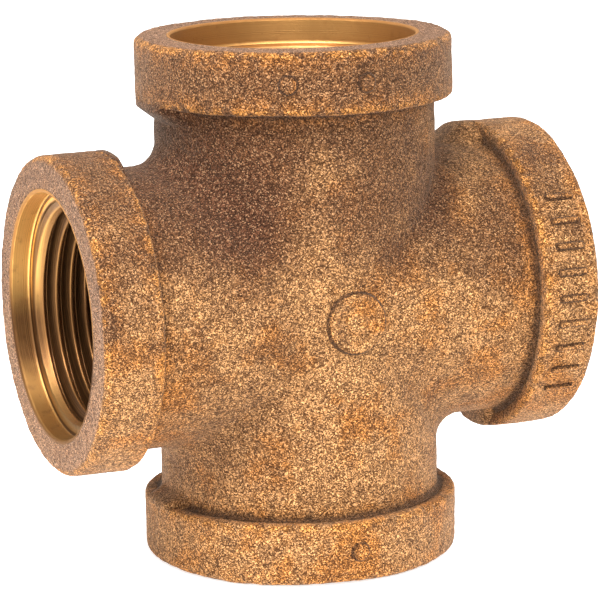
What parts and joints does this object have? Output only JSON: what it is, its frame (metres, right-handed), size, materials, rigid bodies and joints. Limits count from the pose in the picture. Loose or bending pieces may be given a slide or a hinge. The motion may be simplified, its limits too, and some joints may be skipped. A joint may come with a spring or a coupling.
{
  "type": "threaded pipe cross fitting",
  "caption": "Cast bronze pipe cross with banded, internally threaded ports at right angles in one plane.",
  "frame": {"origin": "where the axes of the ports cross, at the centre of the fitting", "axes": "+X out of the right port, +Z out of the top port, -Y towards the front, the side with the round pad"},
  "size_m": [0.0762, 0.0464, 0.0762],
  "materials": {
    "cast_bronze": "as-cast bronze, fine sand grain, mottled brown and tan",
    "machined_bronze": "bright machined bronze with fine circular tool marks"
  },
  "bodies": {
    "root": {"cast_body": "cast_bronze", "left_band": "cast_bronze", "right_band": "cast_bronze", "top_band": "cast_bronze", "bottom_band": "cast_bronze", "left_thread": "machined_bronze", "right_thread": "machined_bronze", "top_thread": "machined_bronze", "bottom_thread": "machined_bronze", "front_mark": "cast_bronze", "right_band_bars": "cast_bronze", "top_band_spots": "cast_bronze", "bottom_band_spot": "cast_bronze"}
  },
  "joints": []
}
